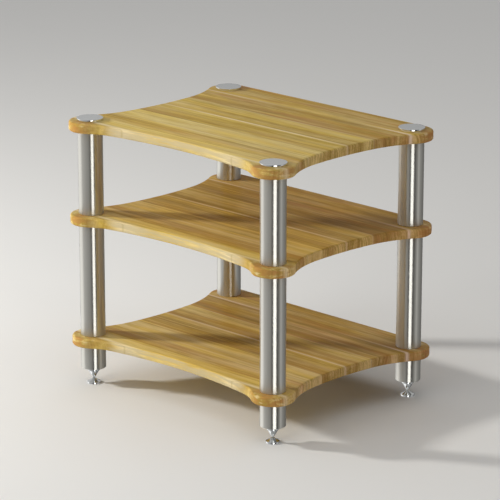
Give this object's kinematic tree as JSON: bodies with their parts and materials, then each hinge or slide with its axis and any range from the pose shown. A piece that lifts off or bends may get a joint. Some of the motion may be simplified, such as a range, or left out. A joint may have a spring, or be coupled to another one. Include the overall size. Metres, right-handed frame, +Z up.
{
  "type": "audio equipment rack",
  "caption": "Open audio equipment rack: glued hardwood shelves with drawn-in sides between brushed steel tube pillars, on screw-adjustable spikes and floor pads.",
  "frame": {"origin": "on the floor, under the middle of the rack's outline", "axes": "+X along the long side, to the right seen from the front; +Y to the rear, towards the straight wall side; +Z up"},
  "size_m": [0.6, 0.4798, 0.562],
  "materials": {
    "wood": "clear satin lacquer over edge-glued strips, grain along the long side",
    "brushed_tube": "stainless tube, fine brushing round the tube",
    "turned_steel": "plain turned steel",
    "polished_steel": "mirror polished"
  },
  "bodies": {
    "rack": {"board_bottom": "wood", "board_middle": "wood", "board_top": "wood", "tube_lower_front_left": "brushed_tube", "plug_lower_bottom_front_left": "turned_steel", "plug_lower_top_front_left": "turned_steel", "tube_middle_front_left": "brushed_tube", "plug_middle_bottom_front_left": "turned_steel", "plug_middle_top_front_left": "turned_steel", "tube_upper_front_left": "brushed_tube", "plug_upper_bottom_front_left": "turned_steel", "plug_upper_top_front_left": "turned_steel", "stud_bottom_board_front_left": "turned_steel", "stud_middle_board_front_left": "turned_steel", "top_cap_front_left": "polished_steel", "tube_lower_front_right": "brushed_tube", "plug_lower_bottom_front_right": "turned_steel", "plug_lower_top_front_right": "turned_steel", "tube_middle_front_right": "brushed_tube", "plug_middle_bottom_front_right": "turned_steel", "plug_middle_top_front_right": "turned_steel", "tube_upper_front_right": "brushed_tube", "plug_upper_bottom_front_right": "turned_steel", "plug_upper_top_front_right": "turned_steel", "stud_bottom_board_front_right": "turned_steel", "stud_middle_board_front_right": "turned_steel", "top_cap_front_right": "polished_steel", "tube_lower_back_right": "brushed_tube", "plug_lower_bottom_back_right": "turned_steel", "plug_lower_top_back_right": "turned_steel", "tube_middle_back_right": "brushed_tube", "plug_middle_bottom_back_right": "turned_steel", "plug_middle_top_back_right": "turned_steel", "tube_upper_back_right": "brushed_tube", "plug_upper_bottom_back_right": "turned_steel", "plug_upper_top_back_right": "turned_steel", "stud_bottom_board_back_right": "turned_steel", "stud_middle_board_back_right": "turned_steel", "top_cap_back_right": "polished_steel", "tube_lower_back_left": "brushed_tube", "plug_lower_bottom_back_left": "turned_steel", "plug_lower_top_back_left": "turned_steel", "tube_middle_back_left": "brushed_tube", "plug_middle_bottom_back_left": "turned_steel", "plug_middle_top_back_left": "turned_steel", "tube_upper_back_left": "brushed_tube", "plug_upper_bottom_back_left": "turned_steel", "plug_upper_top_back_left": "turned_steel", "stud_bottom_board_back_left": "turned_steel", "stud_middle_board_back_left": "turned_steel", "top_cap_back_left": "polished_steel"},
    "pad_front_left": {"floor_pad_front_left": "polished_steel"},
    "spike_front_left": {"spike_front_left": "polished_steel"},
    "pad_front_right": {"floor_pad_front_right": "polished_steel"},
    "spike_front_right": {"spike_front_right": "polished_steel"},
    "pad_back_right": {"floor_pad_back_right": "polished_steel"},
    "spike_back_right": {"spike_back_right": "polished_steel"},
    "pad_back_left": {"floor_pad_back_left": "polished_steel"},
    "spike_back_left": {"spike_back_left": "polished_steel"}
  },
  "joints": [
    {"name": "foot_height_front_left", "type": "slide", "parent": "rack", "child": "pad_front_left", "axis": [0, 0, -1], "range_m": [-0.00225, 0.009]},
    {"name": "spike_turn_front_left", "type": "hinge", "parent": "pad_front_left", "child": "spike_front_left", "pos_m": [-0.257, -0.197, 0.0345], "axis": [0, 0, -1], "range_deg": [-540, 2160]},
    {"name": "foot_height_front_right", "type": "slide", "parent": "rack", "child": "pad_front_right", "axis": [0, 0, -1], "range_m": [-0.00225, 0.009]},
    {"name": "spike_turn_front_right", "type": "hinge", "parent": "pad_front_right", "child": "spike_front_right", "pos_m": [0.257, -0.197, 0.0345], "axis": [0, 0, -1], "range_deg": [-540, 2160]},
    {"name": "foot_height_back_right", "type": "slide", "parent": "rack", "child": "pad_back_right", "axis": [0, 0, -1], "range_m": [-0.00225, 0.009]},
    {"name": "spike_turn_back_right", "type": "hinge", "parent": "pad_back_right", "child": "spike_back_right", "pos_m": [0.257, 0.197, 0.0345], "axis": [0, 0, -1], "range_deg": [-540, 2160]},
    {"name": "foot_height_back_left", "type": "slide", "parent": "rack", "child": "pad_back_left", "axis": [0, 0, -1], "range_m": [-0.00225, 0.009]},
    {"name": "spike_turn_back_left", "type": "hinge", "parent": "pad_back_left", "child": "spike_back_left", "pos_m": [-0.257, 0.197, 0.0345], "axis": [0, 0, -1], "range_deg": [-540, 2160]}
  ],
  "couplings": [
    {"joint": "spike_turn_front_left", "follows": "foot_height_front_left", "rad_per_m": 4188.8},
    {"joint": "spike_turn_front_right", "follows": "foot_height_front_right", "rad_per_m": 4188.8},
    {"joint": "spike_turn_back_right", "follows": "foot_height_back_right", "rad_per_m": 4188.8},
    {"joint": "spike_turn_back_left", "follows": "foot_height_back_left", "rad_per_m": 4188.8}
  ]
}
